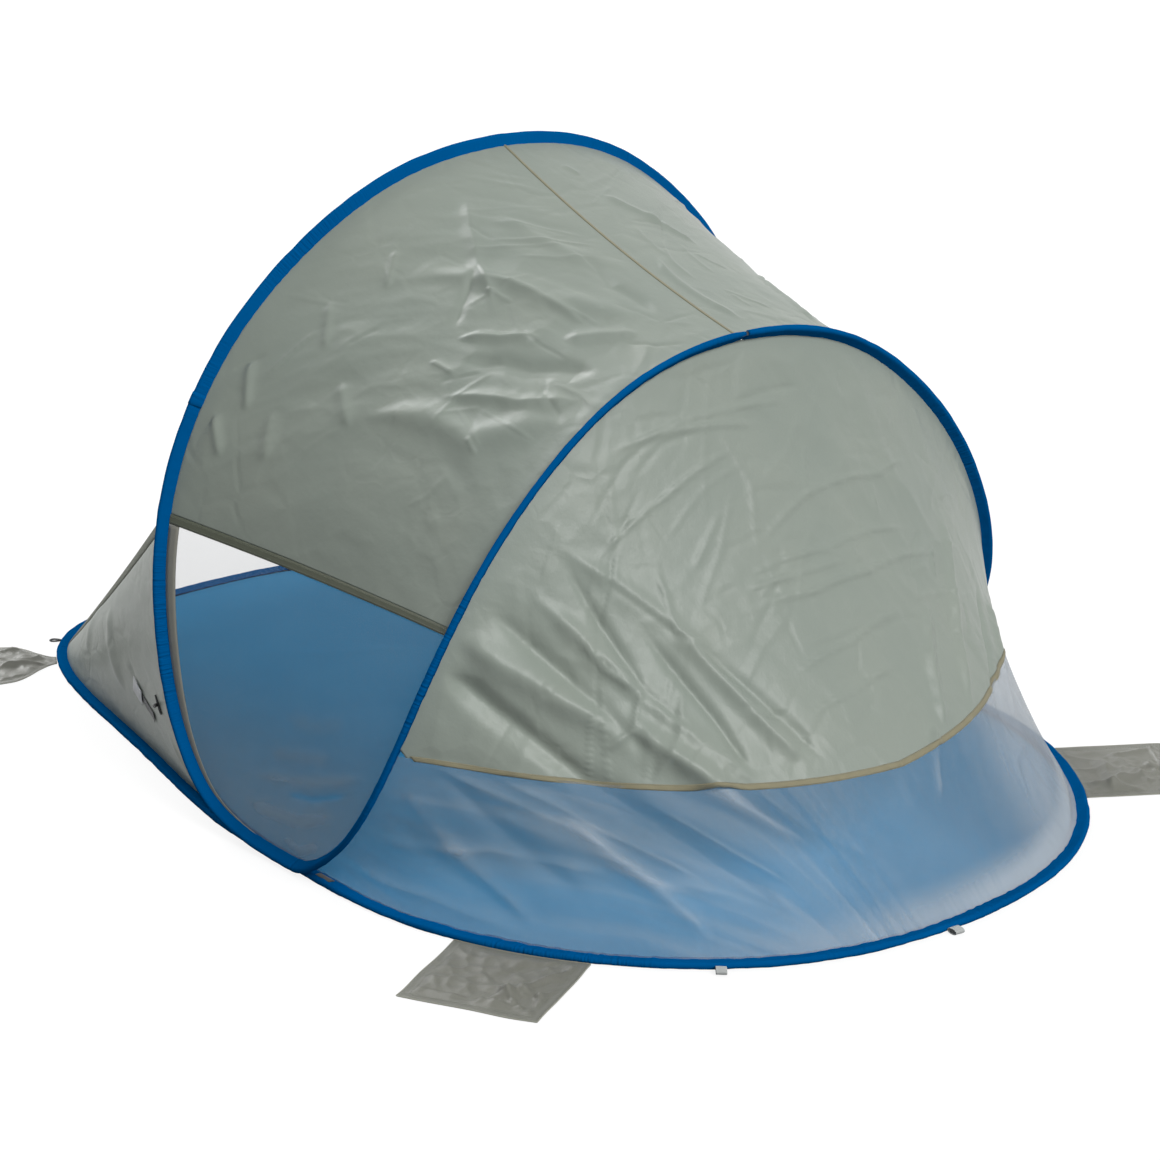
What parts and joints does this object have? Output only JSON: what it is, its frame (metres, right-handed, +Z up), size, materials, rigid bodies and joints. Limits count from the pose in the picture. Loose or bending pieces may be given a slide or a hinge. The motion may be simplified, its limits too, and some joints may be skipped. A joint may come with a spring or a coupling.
{
  "type": "beach tent",
  "caption": "Pop-up beach tent: spring hoops in fabric sleeves, with a floor, side meshes, a canopy, front wings, a rear panel, sand pockets and peg loops.",
  "frame": {"origin": "on the ground, in the middle of the ground hoop, under the front part of the floor", "axes": "+X to the rear (the low end), +Z up; the door is at -X and the side towards the camera is -Y"},
  "size_m": [2.0403, 1.4609, 0.9872],
  "materials": {
    "rod": "pultruded glass-fibre rod",
    "ferrule": "drawn steel tube",
    "sleeve": "blue plain-weave polyester, lightly coated",
    "floor": "blue coated woven floor sheet",
    "canopy": "grey plain-weave polyester with a silver coating inside",
    "mesh": "fine pale mosquito mesh",
    "binding": "dark woven binding tape",
    "tape": "olive-brown woven seam tape",
    "pocket": "grey plain-weave polyester",
    "elastic": "black braided elastic cord",
    "ribbon": "pale grey woven ribbon",
    "label": "dark woven label, blank",
    "toggle": "black moulded plastic"
  },
  "bodies": {
    "front_half": {"ground_rod_front": "rod", "ground_sleeve_front": "sleeve", "arch_rod_front": "rod", "arch_sleeve_front": "sleeve", "floor_front": "floor", "front_wing_near": "canopy", "front_wing_far": "canopy", "wing_hem_near": "binding", "wing_hem_far": "binding", "wing_label": "label", "tie_loop": "elastic", "tie_toggle": "toggle", "canopy_near": "canopy", "canopy_far": "canopy", "ridge_seam_tape": "tape", "side_hem_near": "binding", "side_hem_far": "binding", "side_mesh_near": "mesh", "side_mesh_far": "mesh"},
    "rear_half": {"ground_rod_rear": "rod", "ground_rod_ferrule": "ferrule", "ground_sleeve_rear": "sleeve", "arch_rod_rear": "rod", "arch_rod_ferrule": "ferrule", "arch_sleeve_rear_near": "sleeve", "arch_sleeve_rear_far": "sleeve", "floor_rear": "floor", "rear_panel": "canopy", "rear_mesh": "mesh", "rear_seam_tape": "tape", "foot_tab_near": "binding", "foot_tab_far": "binding"},
    "front_near_pocket": {"sand_pocket_front_near": "pocket"},
    "front_far_pocket": {"sand_pocket_front_far": "pocket"},
    "rear_near_pocket": {"sand_pocket_rear_near": "pocket"},
    "rear_far_pocket": {"sand_pocket_rear_far": "pocket"},
    "front_near_loop": {"peg_loop_front_near": "elastic"},
    "front_far_loop": {"peg_loop_front_far": "elastic"},
    "rear_near_loop": {"peg_loop_rear_near": "ribbon"},
    "rear_mid_loop": {"peg_loop_rear_mid": "ribbon"}
  },
  "joints": [
    {"name": "fold", "type": "hinge", "parent": "front_half", "child": "rear_half", "pos_m": [0.234, 0, 0.0225], "axis": [0, -1, 0], "range_deg": [0, 36], "deforming": ["canopy_near", "canopy_far", "ridge_seam_tape", "side_hem_near", "side_hem_far", "side_mesh_near", "side_mesh_far"]},
    {"name": "front_near_pocket_lift", "type": "hinge", "parent": "front_half", "child": "front_near_pocket", "pos_m": [-0.82374, -0.42686, 0.0024], "axis": [-0.8852, 0.4652, 0], "range_deg": [0, 90]},
    {"name": "front_far_pocket_lift", "type": "hinge", "parent": "front_half", "child": "front_far_pocket", "pos_m": [-0.82374, 0.42686, 0.0024], "axis": [0.8852, 0.4652, 0], "range_deg": [0, 90]},
    {"name": "rear_near_pocket_lift", "type": "hinge", "parent": "rear_half", "child": "rear_near_pocket", "pos_m": [0.66485, -0.55858, 0.0024], "axis": [-0.8943, -0.4474, 0], "range_deg": [0, 90]},
    {"name": "rear_far_pocket_lift", "type": "hinge", "parent": "rear_half", "child": "rear_far_pocket", "pos_m": [0.7564, 0.50303, 0.0024], "axis": [0.8151, -0.5794, 0], "range_deg": [0, 90]},
    {"name": "front_near_loop_lift", "type": "hinge", "parent": "front_half", "child": "front_near_loop", "pos_m": [-0.91074, -0.36364, 0.0032], "axis": [-0.6978, 0.7163, 0], "range_deg": [0, 90]},
    {"name": "front_far_loop_lift", "type": "hinge", "parent": "front_half", "child": "front_far_loop", "pos_m": [-0.91074, 0.36364, 0.0032], "axis": [0.6978, 0.7163, 0], "range_deg": [0, 90]},
    {"name": "rear_near_loop_lift", "type": "hinge", "parent": "rear_half", "child": "rear_near_loop", "pos_m": [0.88262, -0.38667, 0.009], "axis": [-0.6421, -0.7667, 0], "range_deg": [0, 90]},
    {"name": "rear_mid_loop_lift", "type": "hinge", "parent": "rear_half", "child": "rear_mid_loop", "pos_m": [1.00949, -0.06815, 0.009], "axis": [-0.0861, -0.9963, 0], "range_deg": [0, 90]}
  ]
}
